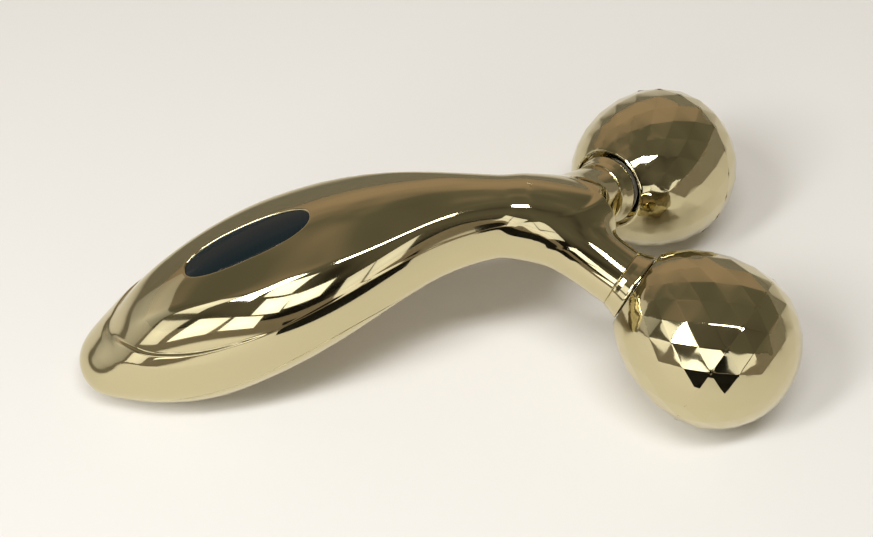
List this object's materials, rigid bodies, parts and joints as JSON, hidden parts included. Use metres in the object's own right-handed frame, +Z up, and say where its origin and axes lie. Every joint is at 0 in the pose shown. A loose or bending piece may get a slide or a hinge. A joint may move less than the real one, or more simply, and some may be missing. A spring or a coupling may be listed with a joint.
{
  "type": "facial toning device",
  "caption": "Y-shaped facial toning device with a domed handle, an oval solar window and freely turning faceted ball rollers on splayed arms.",
  "frame": {"origin": "middle of the footprint, on the table the device rests on", "axes": "+X from the handle's tail towards the rollers, +Y to the left of someone looking along +X, +Z up"},
  "size_m": [0.165, 0.0992, 0.05],
  "materials": {
    "gold_plating": "mirror",
    "window_glass": "gloss",
    "black_tape": "matte",
    "solar_silicon": "gloss",
    "board_laminate": "satin",
    "screw_steel": "satin",
    "capacitor_can": "satin",
    "black_moulding": "matte",
    "wire_jacket": "satin",
    "fork_moulding": "matte",
    "axle_steel": "polished",
    "black_rubber": "matte",
    "washer_acetal": "satin",
    "contact_brass": "polished",
    "core_moulding": "matte",
    "bush_bronze": "satin"
  },
  "bodies": {
    "handle": {"body_shell": "gold_plating", "belly_cover": "gold_plating", "solar_window": "window_glass", "window_tape": "black_tape", "solar_cell": "solar_silicon", "circuit_board": "board_laminate", "board_screws": "screw_steel", "storage_capacitor": "capacitor_can", "driver_chip": "black_moulding", "solar_leads": "wire_jacket", "fork_block": "fork_moulding", "block_screws": "screw_steel", "fork_lead": "wire_jacket", "left_arm_collar": "gold_plating", "left_axle": "axle_steel", "left_axle_seal": "black_rubber", "left_thrust_washer": "washer_acetal", "left_retaining_clip": "screw_steel", "left_contact_pin": "contact_brass", "left_contact_spring": "screw_steel", "right_arm_collar": "gold_plating", "right_axle": "axle_steel", "right_axle_seal": "black_rubber", "right_thrust_washer": "washer_acetal", "right_retaining_clip": "screw_steel", "right_contact_pin": "contact_brass", "right_contact_spring": "screw_steel"},
    "left_roller": {"left_roller_core": "core_moulding", "left_roller_back_shell": "gold_plating", "left_roller_front_shell": "gold_plating", "left_inner_bush": "bush_bronze", "left_outer_bush": "bush_bronze"},
    "right_roller": {"right_roller_core": "core_moulding", "right_roller_back_shell": "gold_plating", "right_roller_front_shell": "gold_plating", "right_inner_bush": "bush_bronze", "right_outer_bush": "bush_bronze"}
  },
  "joints": [
    {"name": "right_roller_spin", "type": "hinge", "parent": "handle", "child": "right_roller", "pos_m": [0.06353, -0.0304, 0.01926], "axis": [0.7219, -0.6046, -0.3366], "continuous": true},
    {"name": "left_roller_spin", "type": "hinge", "parent": "handle", "child": "left_roller", "pos_m": [0.06353, 0.0304, 0.01926], "axis": [0.7219, 0.6046, -0.3366], "continuous": true}
  ]
}
